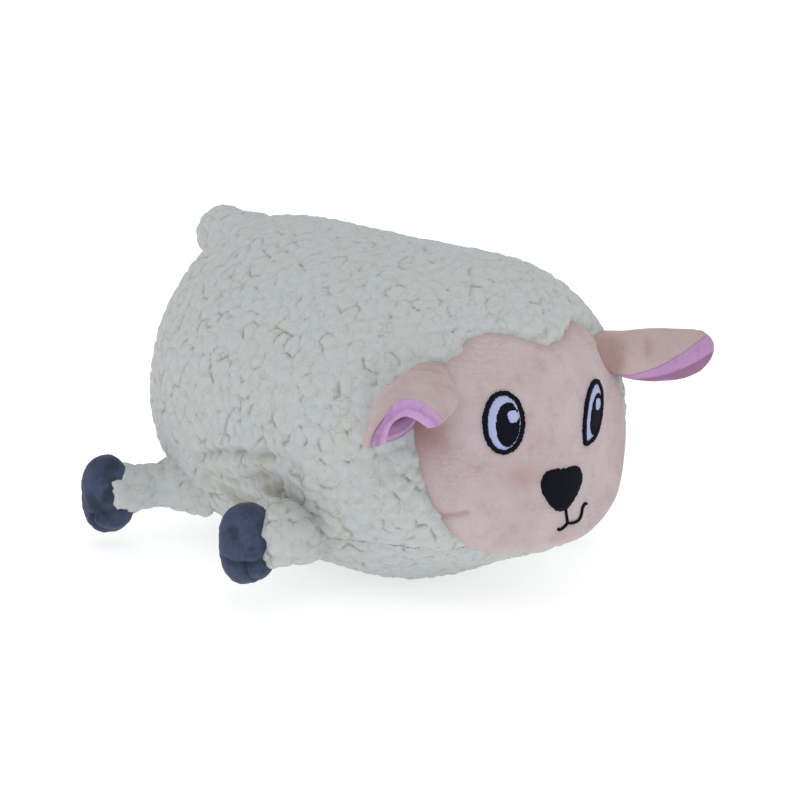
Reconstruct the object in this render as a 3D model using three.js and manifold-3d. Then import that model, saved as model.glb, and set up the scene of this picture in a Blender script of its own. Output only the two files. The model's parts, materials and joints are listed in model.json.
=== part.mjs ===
// A stuffed toy sheep that lies on its belly, in millimetres. It faces -Y, +X is
// its left side and +Z is up. The origin is in the middle of the flat that its belly
// rests on. The sizes below count Y from the body's widest section, and the pieces
// are moved to the origin as they are added.

import * as THREE from 'three';
import { mergeVertices } from 'three/addons/utils/BufferGeometryUtils.js';
import Module from 'manifold-3d';

// Body: one long bolster that holds head and trunk, widest at Y = 0.
const restPlace = 72;
const bodyHalfWidth = 82;
const bodyHalfHeight = 69;
const frontLength = 76;
const rearLength = 147;
const noseDrop = 40;
const rearRise = 5.4;
const rearWidening = 0.5;
const backSlope = 0.057;
const bellySag = 2.6;
const bellyFlatDepth = 0.5;

// How full each outline of the body is: 2 is an ellipse, and more is squarer.
const frontSidePower = 1.72;
const frontTopPower = 4.2;
const frontBellyPower = 1.25;
const rearSidePower = 3.28;
const rearTopPower = 8.2;
const rearBellyPower = 5.9;
const upperSectionPower = 1.95;
const lowerSectionPower = 2.1;
const muzzleSquareness = 0.55;

// Cloth, and the gaps that sewn pieces keep.
const sherpaThickness = 4;
const faceClothThickness = 3;
const seamGap = 0.3;
const fillingSlack = 0.5;
const swingClearance = 0.5;
const rubClearance = 1;
const bellySeamHeight = 28;
const overrun = 20;

// Face panel: half of its outline from the hair peak to the chin, seen from the front.
// Its cheek and jaw reach further round on the left.
const hairPeakHeight = 111.3;
const hairLobeOffset = 20;
const hairLobeHeight = 116.8;
const hairShoulderOffset = 30;
const hairShoulderHeight = 113.5;
const templeOffset = 40;
const templeHeight = 107.5;
const cheekOffset = 51;
const cheekHeight = 66;
const jawOffset = 41;
const jawHeight = 38.5;
const chinHeight = 27;
const leftFaceReach = 12;

// Eyes: both look the same way, so neither mirrors the other.
const threadHeight = 1.1;
const eyeSpacing = 46.4;
const eyeShift = -0.5;
const eyeHeight = 84.4;
const eyeHalfWidth = 8.1;
const eyeHalfHeight = 12.4;
const rightEyeTilt = -0.13;
const leftEyeTilt = -0.38;
const eyeRingWidth = 2.3;
const pupilHalfWidth = 4;
const pupilHalfHeight = 8;
const pupilShift = 1.1;
const glintRadius = 1.9;
const glintShift = 2.4;
const glintRise = 2.6;

// Nose and mouth.
const noseShift = 2;
const noseHeight = 56.8;
const noseHalfWidth = 10.4;
const noseHalfHeight = 8.2;
const mouthStrokeWidth = 1.6;
const mouthShift = 5;
const mouthHeight = 42.3;
const mouthShortReach = 5;
const mouthShortDrop = 2.2;
const mouthLongReach = 9.6;
const mouthLongDip = 0.8;
const mouthLongRise = 6.8;

// Ears: a leaf of cloth folded along its length, with its opening underneath.
const earRootPlace = -47;
const rightEarRootHeight = 98;
const leftEarRootHeight = 103;
const earRootSink = 2.5;
const earRootRadius = 8;
const earLength = 50;
const earHalfWidth = 25;
const earFold = 1.5;
const rightEarForward = 31.5;
const rightEarDroop = 6;
const rightEarTwist = 0.5;
const leftEarForward = 6.5;
const leftEarDroop = 2;
const leftEarTwist = -0.3;
const earRidgeHeight = 8;
const earTipRound = 7;
const earClothThickness = 2.2;
const earLiningThickness = 1.6;
const earTipBand = 4;
const earRaise = 45;
const earLower = 10;

// Legs: a sherpa sleeve that ends in a plump cloth hoof, all four alike.
const legRootHeight = 27;
const legRootSink = 5;
const legRootRadius = 14;
const frontLegPlace = 14;
const rearLegPlace = 94;
const legReach = 38;
const frontLegSweeps = [-17, 16];
const rearLegSweeps = [12, 12];
const frontLegLower = -2;
const rearLegLower = 4;
const legHalfHeight = 11;
const legHalfDepth = 10;
const sleeveLength = 30;
const hoofHalfLength = 11;
const hoofHalfDepth = 12;
const hoofHalfHeight = 17;
const legFillingLength = 48;
const legFillingHalfHeight = 7;
const legSwing = 25;

// Tail: a stub of sherpa high on the rear.
const tailRootHeight = 118;
const tailRootSink = 5;
const tailRootRadius = 11;
const tailLength = 38;
const tailHalfWidth = 12;
const tailLift = 2;
const tailFillingLength = 36;
const tailFillingHalfWidth = 6.5;
const tailWag = 25;

// How finely the soft forms are faceted.
const bodySides = 34;
const bodyRings = 22;
const fillingSides = 20;
const fillingRings = 14;
const limbSides = 14;
const limbRings = 8;
const swingSteps = 4;
const earFacets = 6;
const ovalFacets = 8;
const faceOutlineFacets = 40;
const noseOutlineFacets = 28;
const strokeFacets = 3;

// Shapes that follow the sizes above, as shares of them.
const sleeveOutlineShares = [
  [-0.1, 0], [-0.1, 0.9], [0.35, 1.15], [0.55, 1.02], [0.8, 0.94], [1, 1], [1, 0],
];
const tailOutlineShares = [
  [-0.1, 0], [-0.1, 0.75], [0.3, 0.95], [0.6, 1], [0.82, 0.86], [0.95, 0.5], [1, 0],
];
const earWidthShares = [0.66, 0.88, 1, 1, 0.86];
const earFrontCoverShares = { right: [1, 0.95], left: [1, 0.1] };
const noseOutlineShares = [[0, 1], [0.6, 1.02], [1, 0.6], [0.85, -0.1], [0.45, -0.75], [0, -1]];
const mouthLongShares = [[0, 0, 0], [0.45, -1, 0], [0.85, 0, 0.25], [1, 0, 1], [1.18, 0, 1.04]];

const sherpa = { color: 0xdcdedd, roughness: 0.95 };
const faceCloth = { color: 0xe6c6c2, roughness: 0.85 };
const liningCloth = { color: 0xd79bd0, roughness: 0.8 };
const hoofCloth = { color: 0x46526b, roughness: 0.9 };
const navyThread = { color: 0x1b1d28, roughness: 0.6 };
const whiteThread = { color: 0xd9ddf2, roughness: 0.6 };
const stuffing = { color: 0xf5f5f2, roughness: 1 };

const wasm = await Module();
wasm.setup();

const sides = [['right', -1], ['left', 1]];
const vertical = new THREE.Vector3(0, 0, 1);
const toy = new THREE.Group();

// Leaves only the places of a geometry's corners, each corner once.
function bare(geometry) {
  geometry.deleteAttribute('normal');
  geometry.deleteAttribute('uv');
  return mergeVertices(geometry);
}

// Turns a closed geometry into a solid that can be joined and cut.
function solid(geometry) {
  const skin = bare(geometry);
  const vertProperties = new Float32Array(skin.attributes.position.array);
  const triVerts = new Uint32Array(skin.index.array);
  return new wasm.Manifold(new wasm.Mesh({ numProp: 3, vertProperties, triVerts }));
}

// Adds a finished solid to the toy as one named mesh.
function addPiece(name, piece, look) {
  const { vertProperties, triVerts } = piece.translate([0, -restPlace, 0]).getMesh();
  const geometry = new THREE.BufferGeometry();
  geometry.setAttribute('position', new THREE.BufferAttribute(vertProperties, 3));
  geometry.setIndex(new THREE.BufferAttribute(triVerts, 1));
  geometry.computeVertexNormals();
  const mesh = new THREE.Mesh(geometry, new THREE.MeshStandardMaterial({ ...look, metalness: 0 }));
  mesh.name = name;
  toy.add(mesh);
}

function placed(piece, frame) {
  return piece.transform(frame.elements);
}

// How much of its full size a swelling outline has at a share of its length.
function swell(along, power) {
  return Math.max(1 - Math.abs(along) ** power, 0) ** (1 / power);
}

// The body's section at a place along Y: half sizes, height of its middle, squareness.
function bodySection(y, inset) {
  const front = y < 0;
  const along = y / ((front ? frontLength : rearLength) - inset);
  const halfHeight = bodyHalfHeight - inset;
  const fullHalfWidth = bodyHalfWidth - inset + (front ? 0 : rearWidening * along);
  const squareness = front ? muzzleSquareness * along ** 2 : 0;
  const bend = (front ? -noseDrop : rearRise) * along ** 2;
  return {
    halfWidth: fullHalfWidth * swell(along, front ? frontSidePower : rearSidePower),
    rise: halfHeight * swell(along, front ? frontTopPower : rearTopPower),
    fall: halfHeight * swell(along, front ? frontBellyPower : rearBellyPower),
    middle: bodyHalfHeight + bellySag - bellyFlatDepth - backSlope * y + bend,
    upperPower: upperSectionPower + squareness,
    lowerPower: lowerSectionPower + squareness,
  };
}

// Half the body's width at a place along Y and a height.
function bodyReach(y, z) {
  const section = bodySection(y, 0);
  const upper = z > section.middle;
  const share = (z - section.middle) / (upper ? section.rise : section.fall);
  return section.halfWidth * swell(share, upper ? section.upperPower : section.lowerPower);
}

// How far back the body reaches in its middle plane at a height.
function bodyRearAt(z) {
  let near = 0;
  let far = rearLength;
  while (far - near > seamGap / 10) {
    const y = (near + far) / 2;
    if (bodyReach(y, z) > 0) near = y;
    else far = y;
  }
  return near;
}

// The body's skin drawn in by an inset, as a closed solid.
function bodySolid(inset, around = bodySides, rings = bodyRings) {
  const skin = bare(new THREE.SphereGeometry(1, around, rings));
  const place = skin.attributes.position;
  for (let i = 0; i < place.count; i += 1) {
    const along = place.getY(i);
    const turn = Math.atan2(place.getZ(i), place.getX(i));
    const y = along * ((along < 0 ? frontLength : rearLength) - inset);
    const section = bodySection(y, inset);
    const upper = turn > 0;
    const power = upper ? section.upperPower : section.lowerPower;
    const spread = Math.abs(Math.cos(turn)) ** power + Math.abs(Math.sin(turn)) ** power;
    const radius = spread ** (-1 / power);
    const x = section.halfWidth * radius * Math.cos(turn);
    const z = section.middle + (upper ? section.rise : section.fall) * radius * Math.sin(turn);
    place.setXYZ(i, x, y, z);
  }
  return solid(skin);
}

// A block that fills everything above a height.
function above(height) {
  const size = 2 * (frontLength + rearLength + bodyHalfHeight);
  return solid(new THREE.BoxGeometry(size, size, size).translate(0, 0, height + size / 2));
}

// An outline in X and Z, made thick along Y so that it cuts through the whole face.
function faceCutter(shape) {
  const depth = frontLength + overrun;
  const extrusion = { depth, bevelEnabled: false, curveSegments: ovalFacets };
  const geometry = new THREE.ExtrudeGeometry(shape, extrusion);
  return solid(geometry.rotateX(Math.PI / 2));
}

function ellipseShape(x, z, halfWidth, halfHeight, tilt = 0) {
  const shape = new THREE.Shape();
  shape.absellipse(x, z, halfWidth, halfHeight, 0, 2 * Math.PI, false, tilt);
  return shape;
}

// A smooth closed outline through points.
function closedShape(points, steps) {
  const curve = new THREE.CatmullRomCurve3(points.map(([x, z]) => new THREE.Vector3(x, z, 0)), true);
  return new THREE.Shape(curve.getPoints(steps).slice(1).map(({ x, y }) => new THREE.Vector2(x, y)));
}

const mirrored = (points) => points.map(([x, z]) => [-x, z]).reverse();

// The face panel's outline, grown by a margin.
function facePanelShape(margin) {
  const half = (reach) => [
    [hairLobeOffset, hairLobeHeight + margin],
    [hairShoulderOffset + margin, hairShoulderHeight + margin],
    [templeOffset + margin, templeHeight + margin],
    [cheekOffset + reach + margin, cheekHeight],
    [jawOffset + reach + margin, jawHeight - margin],
  ];
  const peak = [0, hairPeakHeight + margin];
  const chin = [0, chinHeight - margin];
  return closedShape([peak, ...half(leftFaceReach), chin, ...mirrored(half(0))], faceOutlineFacets);
}

// A stroke of thread along a curve, with round ends.
function strokeCutter(points, width) {
  const curve = new THREE.SplineCurve(points.map(([x, z]) => new THREE.Vector2(x, z)));
  const steps = strokeFacets * (points.length - 1);
  const edge = (side) => Array.from({ length: steps + 1 }, (_, i) => {
    const { x, y } = curve.getTangent(i / steps);
    return curve.getPoint(i / steps).add(new THREE.Vector2(-y, x).multiplyScalar((side * width) / 2));
  });
  const band = faceCutter(new THREE.Shape([...edge(-1), ...edge(1).reverse()]));
  const cap = ([x, z]) => faceCutter(ellipseShape(x, z, width / 2, width / 2));
  return band.add(cap(points[0])).add(cap(points.at(-1)));
}

// A limb's own axes: +X runs out along it from its pivot and +Z is its upper side.
function limbFrame(pivot, direction, upper) {
  const out = direction.clone().normalize();
  const side = new THREE.Vector3().crossVectors(upper, out).normalize();
  const up = new THREE.Vector3().crossVectors(out, side);
  return new THREE.Matrix4().makeBasis(out, side, up).setPosition(pivot);
}

// An egg on a limb's own X axis.
function egg(x, halfLength, halfDepth, halfHeight = halfDepth) {
  const geometry = new THREE.SphereGeometry(1, limbSides, limbRings).rotateZ(Math.PI / 2);
  return solid(geometry.scale(halfLength, halfDepth, halfHeight).translate(x, 0, 0));
}

// A round sleeve on a limb's own X axis, from shares of its length and its girth.
function sleeve(outlineShares, length, halfDepth, halfHeight) {
  const profile = outlineShares.map(([along, girth]) => new THREE.Vector2(girth, along * length));
  const geometry = new THREE.LatheGeometry(profile, limbSides).rotateZ(-Math.PI / 2);
  return solid(geometry.scale(1, halfDepth, halfHeight));
}

// The round root that a limb turns on. A hollow in the body takes it with a clearance.
const hollows = [];
function rootBall(pivot, axis, radius) {
  const turn = new THREE.Quaternion().setFromUnitVectors(new THREE.Vector3(0, 1, 0), axis);
  const frame = new THREE.Matrix4().compose(pivot, turn, new THREE.Vector3(1, 1, 1));
  const ball = (size) => placed(solid(new THREE.SphereGeometry(size, limbSides, limbRings)), frame);
  hollows.push(ball((radius + swingClearance) / Math.cos(Math.PI / limbSides)));
  return ball(radius);
}

// Cuts a limb by the body at each turn of its joint from one limit to the other.
const bodyCutter = bodySolid(-rubClearance);
function clearOfBody(piece, pivot, axis, lowest, highest) {
  let cut = piece;
  for (let i = 0; i <= swingSteps; i += 1) {
    const turn = THREE.MathUtils.degToRad(lowest + ((highest - lowest) * i) / swingSteps);
    const frame = new THREE.Matrix4().makeTranslation(pivot)
      .multiply(new THREE.Matrix4().makeRotationAxis(axis, -turn))
      .multiply(new THREE.Matrix4().makeTranslation(pivot.clone().negate()));
    cut = cut.subtract(placed(bodyCutter, frame));
  }
  return cut;
}

// Legs: the stuffing runs from the sleeve into the hoof.
function addLeg(name, side, y, sweep, lower) {
  const legLength = Math.hypot(legReach, sweep);
  const x = bodyReach(y, legRootHeight) - legRootSink;
  const pivot = new THREE.Vector3(side * x, y, legRootHeight);
  const frame = limbFrame(pivot, new THREE.Vector3(side * legReach, sweep, -lower), vertical);
  const ball = rootBall(pivot, vertical, legRootRadius);
  const middle = (legFillingLength - legRootRadius) / 2;
  const fillingHalfDepth = (legFillingHalfHeight * legHalfDepth) / legHalfHeight;
  const fillingEgg = (margin) => placed(
    egg(middle, legFillingLength / 2 + margin, fillingHalfDepth + margin, legFillingHalfHeight + margin),
    frame,
  );
  const hoofStart = sleeveLength + seamGap;
  const behindHoof = new THREE.BoxGeometry(legLength, 4 * hoofHalfHeight, 4 * hoofHalfHeight)
    .translate(hoofStart - legLength / 2, 0, 0);
  const hoof = egg(legLength, hoofHalfLength, hoofHalfDepth, hoofHalfHeight).subtract(solid(behindHoof));
  const tube = placed(sleeve(sleeveOutlineShares, sleeveLength, legHalfDepth, legHalfHeight), frame);
  const swung = (piece) => clearOfBody(piece, pivot, vertical, -legSwing, legSwing);
  const cover = swung(tube).add(ball);
  const filling = swung(fillingEgg(0)).add(fillingEgg(0).intersect(ball));
  addPiece(`${name}_leg_sleeve`, cover.subtract(fillingEgg(seamGap)), sherpa);
  addPiece(`${name}_hoof`, placed(hoof, frame).subtract(fillingEgg(seamGap)), hoofCloth);
  addPiece(`${name}_leg_filling`, filling, stuffing);
}
sides.forEach(([sideName, side], i) => {
  addLeg(`front_${sideName}`, side, frontLegPlace, frontLegSweeps[i], frontLegLower);
  addLeg(`rear_${sideName}`, side, rearLegPlace, rearLegSweeps[i], rearLegLower);
});

// Tail: its cover is open at the root, where the stuffing goes in.
const tailPivot = new THREE.Vector3(0, bodyRearAt(tailRootHeight) - tailRootSink, tailRootHeight);
const tailFrame = limbFrame(tailPivot, new THREE.Vector3(0, tailLength, tailLift), vertical);
const tailBall = rootBall(tailPivot, vertical, tailRootRadius);
const tailStub = placed(sleeve(tailOutlineShares, tailLength, tailHalfWidth, tailHalfWidth), tailFrame);
const tailFillingMiddle = tailLength - sherpaThickness - tailFillingLength / 2;
const tailFillingEgg = (lengthMargin, widthMargin) => placed(
  egg(tailFillingMiddle, tailFillingLength / 2 + lengthMargin, tailFillingHalfWidth + widthMargin),
  tailFrame,
);
const tailMouth = placed(egg(-tailRootRadius, tailRootRadius, tailFillingHalfWidth / 2), tailFrame);
const tailCover = clearOfBody(tailStub, tailPivot, vertical, -tailWag, tailWag).add(tailBall);
addPiece('tail_cover', tailCover.subtract(tailFillingEgg(seamGap, seamGap)).subtract(tailMouth), sherpa);
addPiece('tail_filling', tailFillingEgg(0, 0), stuffing);

// A bent leaf of cloth between two depths under the ear's ridge. On its front flap it
// covers one share of the half width at the root and another at the tip.
function earLeaf(outerDepth, innerDepth, frontSide, lengthShare = 1, frontShares = [1, 1]) {
  const leaf = bare(new THREE.BoxGeometry(1, 1, 1, earFacets, earFacets, 1));
  const widths = new THREE.SplineCurve(earWidthShares.map((share, i) => new THREE.Vector2(i, share)));
  const place = leaf.attributes.position;
  for (let i = 0; i < place.count; i += 1) {
    const along = (place.getX(i) + 1 / 2) * lengthShare;
    const frontShare = THREE.MathUtils.lerp(...frontShares, along);
    const acrossShare = frontSide * place.getY(i) + 1 / 2;
    const across = frontSide * THREE.MathUtils.lerp(-1, frontShare, acrossShare);
    const ridgeRadius = (earHalfWidth * widths.getPoint(along).y) / earFold;
    const radius = ridgeRadius - (place.getZ(i) > 0 ? outerDepth : innerDepth);
    const x = along * (earLength - earTipRound * across ** 2);
    const y = radius * Math.sin(across * earFold);
    const z = earRidgeHeight + radius * Math.cos(across * earFold) - ridgeRadius;
    place.setXYZ(i, x, y, z);
  }
  return solid(leaf);
}

// Ears: the outer cloth stops short on the front flap and at the tip, where lining shows.
const liningDepth = earClothThickness + seamGap;
const earPoses = {
  right: [rightEarRootHeight, rightEarForward, rightEarDroop, rightEarTwist],
  left: [leftEarRootHeight, leftEarForward, leftEarDroop, leftEarTwist],
};
for (const [sideName, side] of sides) {
  const [rootHeight, forward, droop, twist] = earPoses[sideName];
  const x = bodyReach(earRootPlace, rootHeight) - earRootSink;
  const pivot = new THREE.Vector3(side * x, earRootPlace, rootHeight);
  const axis = new THREE.Vector3(0, side, 0);
  const outward = Math.sqrt(earLength ** 2 - forward ** 2);
  const direction = new THREE.Vector3(side * outward, -forward, -droop);
  const frame = limbFrame(pivot, direction, new THREE.Vector3(0, twist, 1));
  const ball = rootBall(pivot, axis, earRootRadius);
  const roomForRoot = ball.add(hollows.at(-1));
  const lining = earLeaf(liningDepth, liningDepth + earLiningThickness, -side);
  const roomForLining = earLeaf(earClothThickness, liningDepth + earLiningThickness, -side);
  const coverLength = 1 - earTipBand / earLength;
  const outer = earLeaf(0, earClothThickness, -side, coverLength, earFrontCoverShares[sideName])
    .subtract(roomForLining);
  const trimmed = (leaf) => clearOfBody(placed(leaf, frame), pivot, axis, -earRaise, earLower);
  addPiece(`${sideName}_ear_outer`, trimmed(outer).add(ball), faceCloth);
  addPiece(`${sideName}_ear_lining`, trimmed(lining).subtract(roomForRoot), liningCloth);
}

// Covers and stuffing of the body. Limbs turn in the hollows that are cut here.
const hollowed = (piece) => hollows.reduce((rest, hollow) => rest.subtract(hollow), piece);
const stuffedSpace = bodySolid(sherpaThickness, fillingSides, fillingRings);
const sherpaShell = hollowed(bodySolid(0).intersect(above(0)).subtract(stuffedSpace))
  .subtract(faceCutter(facePanelShape(seamGap)));
addPiece('back_cover', sherpaShell.intersect(above(bellySeamHeight + seamGap)), sherpa);
addPiece('belly_cover', sherpaShell.subtract(above(bellySeamHeight)), sherpa);
const bodyFilling = bodySolid(sherpaThickness + fillingSlack, fillingSides, fillingRings);
addPiece('body_filling', hollowed(bodyFilling), stuffing);

// Face panel, and the sheet of thread that all embroidery on it is cut from.
const faceInset = sherpaThickness - faceClothThickness;
const threadInset = faceInset - seamGap;
const faceSheet = bodySolid(faceInset).subtract(stuffedSpace);
const threadSheet = bodySolid(threadInset - threadHeight).subtract(bodySolid(threadInset));
const stitched = (cutter) => threadSheet.intersect(cutter);
addPiece('face_panel', hollowed(faceSheet.intersect(faceCutter(facePanelShape(0)))), faceCloth);

// Eyes: a ring, a white, a pupil and a glint that lie side by side.
for (const [sideName, side] of sides) {
  const x = eyeShift + (side * eyeSpacing) / 2;
  const tilt = side < 0 ? rightEyeTilt : leftEyeTilt;
  const whiteHalfWidth = eyeHalfWidth - eyeRingWidth;
  const whiteHalfHeight = eyeHalfHeight - eyeRingWidth;
  const eyeball = (margin) => faceCutter(
    ellipseShape(x, eyeHeight, whiteHalfWidth + margin, whiteHalfHeight + margin, tilt),
  );
  const pupil = (margin) => faceCutter(
    ellipseShape(x + pupilShift, eyeHeight, pupilHalfWidth + margin, pupilHalfHeight + margin, tilt),
  );
  const glint = (margin) => faceCutter(
    ellipseShape(x + glintShift, eyeHeight + glintRise, glintRadius + margin, glintRadius + margin),
  );
  const wholeEye = faceCutter(ellipseShape(x, eyeHeight, eyeHalfWidth, eyeHalfHeight, tilt));
  const white = eyeball(-seamGap).subtract(pupil(seamGap));
  addPiece(`${sideName}_eye_outline`, stitched(wholeEye.subtract(eyeball(0))), navyThread);
  addPiece(`${sideName}_eye_white`, stitched(white), whiteThread);
  addPiece(`${sideName}_eye_pupil`, stitched(pupil(0).subtract(glint(seamGap))), navyThread);
  addPiece(`${sideName}_eye_glint`, stitched(glint(0)), whiteThread);
}

// Nose: a triangle with full, rounded corners that points down.
const noseOutline = noseOutlineShares.map(([across, up]) => [
  across * noseHalfWidth,
  noseHeight + up * noseHalfHeight,
]);
const wholeNose = closedShape([...noseOutline, ...mirrored(noseOutline.slice(1, -1))], noseOutlineFacets);
const noseCutter = faceCutter(wholeNose).translate([noseShift, 0, 0]);
addPiece('nose_embroidery', stitched(noseCutter), navyThread);

// Mouth: a stem, a short stroke to one side and a long smile to the other.
const mouthFork = [mouthShift, mouthHeight];
const stemTop = noseHeight - noseHalfHeight - seamGap - mouthStrokeWidth / 2;
const longStroke = mouthLongShares.map(([reach, dip, rise]) => [
  mouthShift + reach * mouthLongReach,
  mouthHeight + dip * mouthLongDip + rise * mouthLongRise,
]);
const mouthStrokes = [
  [[(noseShift + mouthShift) / 2, stemTop], mouthFork],
  [mouthFork, [mouthShift - mouthShortReach, mouthHeight - mouthShortDrop]],
  longStroke,
];
const mouthCutter = mouthStrokes.map((stroke) => strokeCutter(stroke, mouthStrokeWidth))
  .reduce((joined, stroke) => joined.add(stroke));
addPiece('mouth_embroidery', stitched(mouthCutter), navyThread);

export default toy;
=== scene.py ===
import itertools
import json
import math

import bpy
import numpy as np
from mathutils import Matrix, Vector
from mathutils.kdtree import KDTree


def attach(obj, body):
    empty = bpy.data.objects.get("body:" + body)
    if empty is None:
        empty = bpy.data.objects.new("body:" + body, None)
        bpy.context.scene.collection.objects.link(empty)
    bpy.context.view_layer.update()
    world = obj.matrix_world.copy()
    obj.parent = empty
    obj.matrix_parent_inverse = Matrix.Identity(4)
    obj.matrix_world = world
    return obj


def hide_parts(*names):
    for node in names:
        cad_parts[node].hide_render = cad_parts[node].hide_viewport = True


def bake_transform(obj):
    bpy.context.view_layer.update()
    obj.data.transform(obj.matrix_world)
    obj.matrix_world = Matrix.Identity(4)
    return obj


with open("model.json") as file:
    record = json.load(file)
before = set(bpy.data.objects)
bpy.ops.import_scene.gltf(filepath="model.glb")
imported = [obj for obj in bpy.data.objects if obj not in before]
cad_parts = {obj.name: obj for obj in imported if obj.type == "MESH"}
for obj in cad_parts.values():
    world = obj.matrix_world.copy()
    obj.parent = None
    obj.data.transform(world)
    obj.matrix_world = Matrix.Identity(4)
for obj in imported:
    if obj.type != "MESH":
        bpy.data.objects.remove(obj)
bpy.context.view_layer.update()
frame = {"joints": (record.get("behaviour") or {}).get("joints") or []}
hinges = {joint["name"]: joint["pos_m"] for joint in frame["joints"]}

MM = 0.001
REST_PLACE = 72.0

# Camera: turned to the toy's right, raised and tipped a little, and shifted in its frame.
CAMERA_AROUND = math.radians(38.6)
CAMERA_RAISED = math.radians(12.5)
CAMERA_TIPPED = math.radians(3.4)
AIM_HEIGHT = 71.0
CAMERA_DISTANCE = 1300.0
PIXELS_PER_MM = 2.421
FRAME_PIXELS = 800.0
SHIFT_PIXELS = (-44.6, 15.1)
SENSOR = 36.0

# Body, and the height of the seam between its back and its belly.
HALF_WIDTH = 82.0
HALF_HEIGHT = 69.0
FRONT_LENGTH = 76.0
REAR_LENGTH = 147.0
SEAM_HEIGHT = 28.15

# A wave texture of this scale draws its bands one unit apart.
WAVE_SCALE = 0.3142

# Distances between the corners of the skins that carry relief.
BODY_STEP = 0.98
LIMB_STEP = 1.05
HOOF_STEP = 0.95


# Numbers and noise.

def swell(share, power):
    """A rounded profile: 1 at a share of 0, and 0 at a share of 1."""
    return np.maximum(1 - np.abs(share) ** power, 0) ** (1 / power)


def ease(value, low, high):
    """0 below low, 1 above high, and smooth between them."""
    share = np.clip((value - low) / (high - low), 0, 1)
    return share * share * (3 - 2 * share)


def drift(points, size, seed):
    """Smooth noise from -1 to 1 that changes over about this many millimetres."""
    place = np.asarray(points, float) / size + seed * 17.31
    cell = np.floor(place).astype(np.int64)
    share = place - cell
    share = share * share * (3 - 2 * share)
    total = np.zeros(len(place))
    for corner in itertools.product((0, 1), repeat=3):
        at = cell + corner
        mix = (at[:, 0] * 73856093) ^ (at[:, 1] * 19349663) ^ (at[:, 2] * 83492791) ^ (seed * 40503)
        mix = ((mix ^ (mix >> 13)) * 1274126177) & 0x7FFFFFFF
        mix = ((mix ^ (mix >> 11)) * 668265263) & 0x7FFFFFFF
        value = (mix >> 8) % 4096 / 2047.5 - 1
        total += value * np.prod(np.where(corner, share, 1 - share), axis=1)
    return total


def wander(points, size, *seeds):
    """Smooth noise in one direction for each seed."""
    return np.stack([drift(points, size, seed) for seed in seeds], axis=1)


def place_tree(places):
    tree = KDTree(len(places))
    for i, place in enumerate(places):
        tree.insert(place, i)
    tree.balance()
    return tree


def smooth_line(points, closed, steps):
    """A smooth line through points, with this many places on each stretch."""
    points = np.asarray(points, float)
    count = len(points)
    places = []
    for i in range(count if closed else count - 1):
        if closed:
            a, b, c, d = (points[(i + k) % count] for k in (-1, 0, 1, 2))
        else:
            a, b, c, d = (points[min(max(i + k, 0), count - 1)] for k in (-1, 0, 1, 2))
        t = np.arange(steps)[:, None] / steps
        places.append(b + 0.5 * t * (c - a + t * (2 * a - 5 * b + 4 * c - d + t * (3 * (b - c) + d - a))))
    if not closed:
        places.append(points[-1:])
    return np.concatenate(places)


def line_distance(places, line, closed=False):
    """How far each place is from a line of points."""
    ends = np.roll(line, -1, axis=0) if closed else line[1:]
    starts = line if closed else line[:-1]
    best = np.full(len(places), 1e9)
    for a, b in zip(starts, ends):
        run = b - a
        share = np.clip((places - a) @ run / max(run @ run, 1e-12), 0, 1)
        best = np.minimum(best, np.linalg.norm(places - a - share[:, None] * run, axis=1))
    return best


def inside_outline(places, outline):
    x, z = places[:, 0], places[:, 1]
    inside = np.zeros(len(places), bool)
    for (x0, z0), (x1, z1) in zip(outline, np.roll(outline, -1, axis=0)):
        if z0 != z1:
            inside ^= ((z0 > z) != (z1 > z)) & (x < (x1 - x0) * (z - z0) / (z1 - z0) + x0)
    return inside


def outline_depth(places, outline):
    """Distance to a closed outline, positive outside it."""
    distance = line_distance(places, outline, closed=True)
    return np.where(inside_outline(places, outline), -distance, distance)


# Making pieces.

def to_frame(places):
    """Places in millimetres from the widest section, as metres in the frame."""
    return (places - (0, REST_PLACE, 0)) * MM


def hinge_root(name):
    """A hinge's place in millimetres from the widest section."""
    return np.array(hinges[name]) / MM + (0, REST_PLACE, 0)


def grid_faces(rows, columns, wrapped=False):
    row, column = np.meshgrid(np.arange(rows - 1), np.arange(columns if wrapped else columns - 1),
                              indexing="ij")
    row, column = row.ravel(), column.ravel()
    beside = (column + 1) % columns
    return np.stack([row * columns + column, row * columns + beside,
                     (row + 1) * columns + beside, (row + 1) * columns + column], axis=1)


def plain_mesh(name, points, faces):
    mesh = bpy.data.meshes.new(name)
    mesh.from_pydata(np.asarray(points, float), [], faces)
    mesh.update()
    return mesh


def corners_of(mesh):
    points = np.zeros(len(mesh.vertices) * 3)
    mesh.vertices.foreach_get("co", points)
    normals = np.zeros(len(mesh.vertices) * 3)
    mesh.vertex_normals.foreach_get("vector", normals)
    return points.reshape(-1, 3), normals.reshape(-1, 3)


def even_skin(points, faces, step):
    """The same closed skin with corners about a step apart: points, faces, normals."""
    mesh = plain_mesh("uneven_skin", points, faces)
    holder = bpy.data.objects.new("uneven_skin", mesh)
    bpy.context.scene.collection.objects.link(holder)
    evener = holder.modifiers.new("even", "REMESH")
    evener.mode = "VOXEL"
    evener.voxel_size = step
    even = holder.evaluated_get(bpy.context.evaluated_depsgraph_get()).to_mesh()
    places, normals = corners_of(even)
    squares = np.zeros(len(even.loops), np.int64)
    even.loops.foreach_get("vertex_index", squares)
    bpy.data.objects.remove(holder)
    bpy.data.meshes.remove(mesh)
    return places, squares.reshape(-1, 4), normals


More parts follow.
